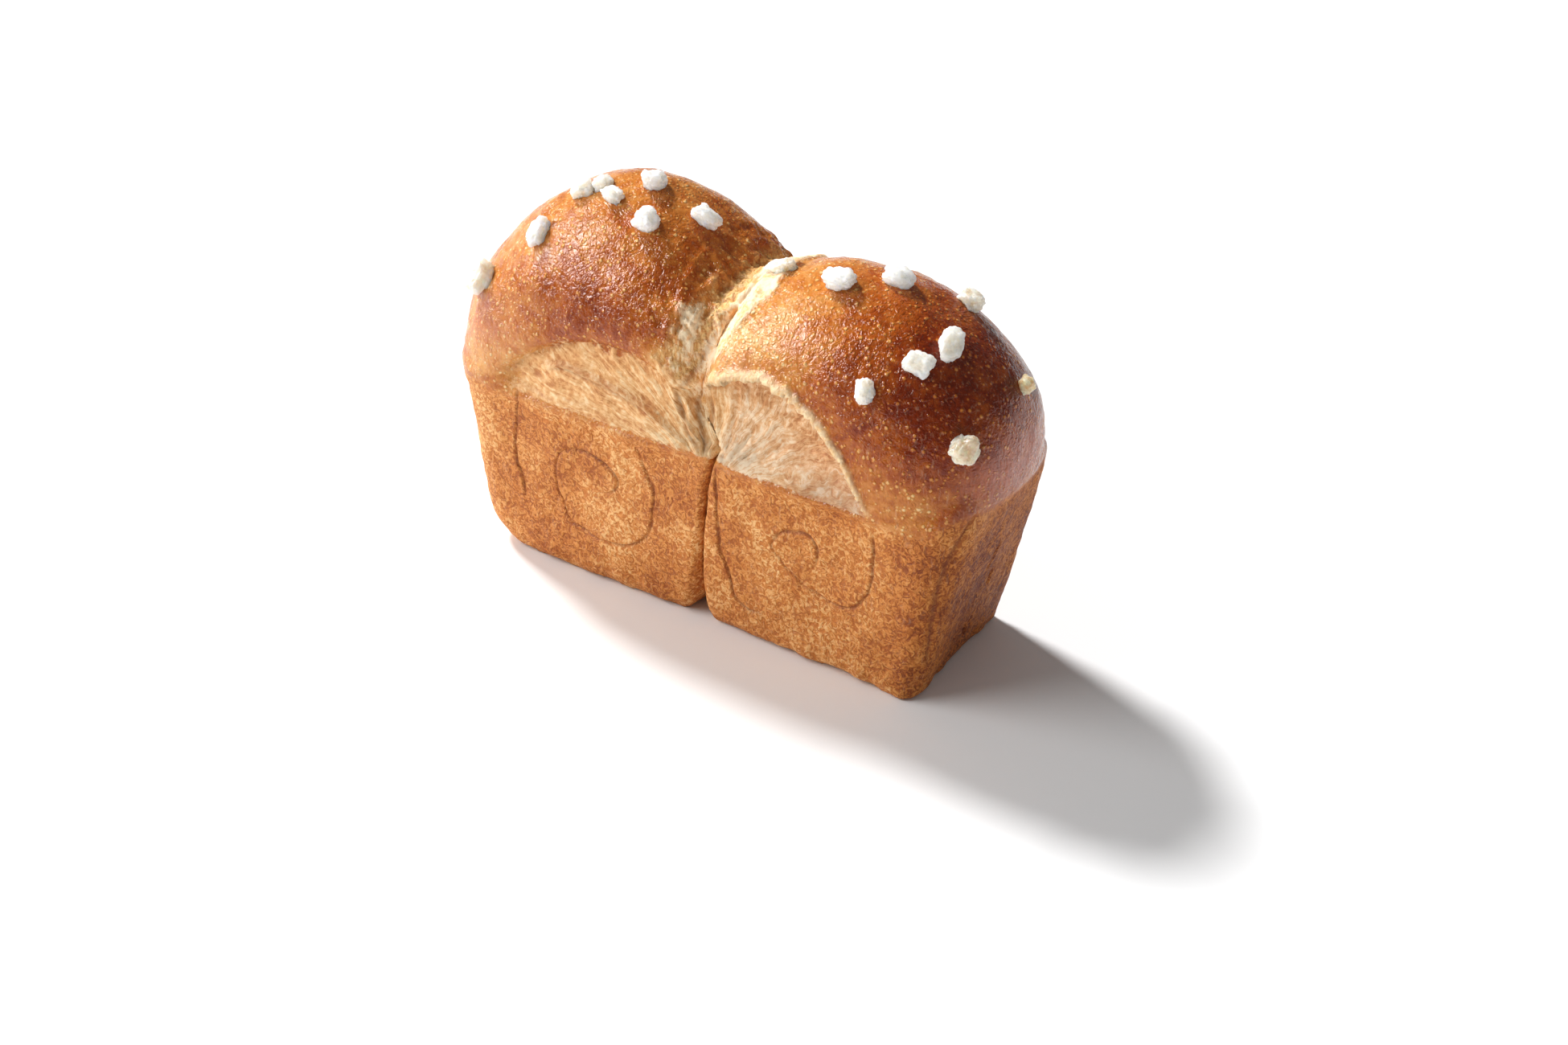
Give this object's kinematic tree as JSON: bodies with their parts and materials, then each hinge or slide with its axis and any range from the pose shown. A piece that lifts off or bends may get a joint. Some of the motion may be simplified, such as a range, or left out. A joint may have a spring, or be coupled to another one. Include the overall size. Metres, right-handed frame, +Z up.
{
  "type": "brioche",
  "caption": "Small tin-baked brioche of rolled lobes with a domed crust, torn shred lines over the rim and pearl sugar on top.",
  "frame": {"origin": "middle of the loaf's box, on the surface that it stands on", "axes": "+X along the length, from the tall lobe to the low one; +Y from the shown front to the back; +Z up"},
  "size_m": [0.1184, 0.0454, 0.0807],
  "materials": {
    "crust": "baked, egg-washed crust",
    "sugar": "pearl sugar, rough and slightly clear"
  },
  "bodies": {
    "root": {"loaf": "crust"}
  },
  "joints": []
}
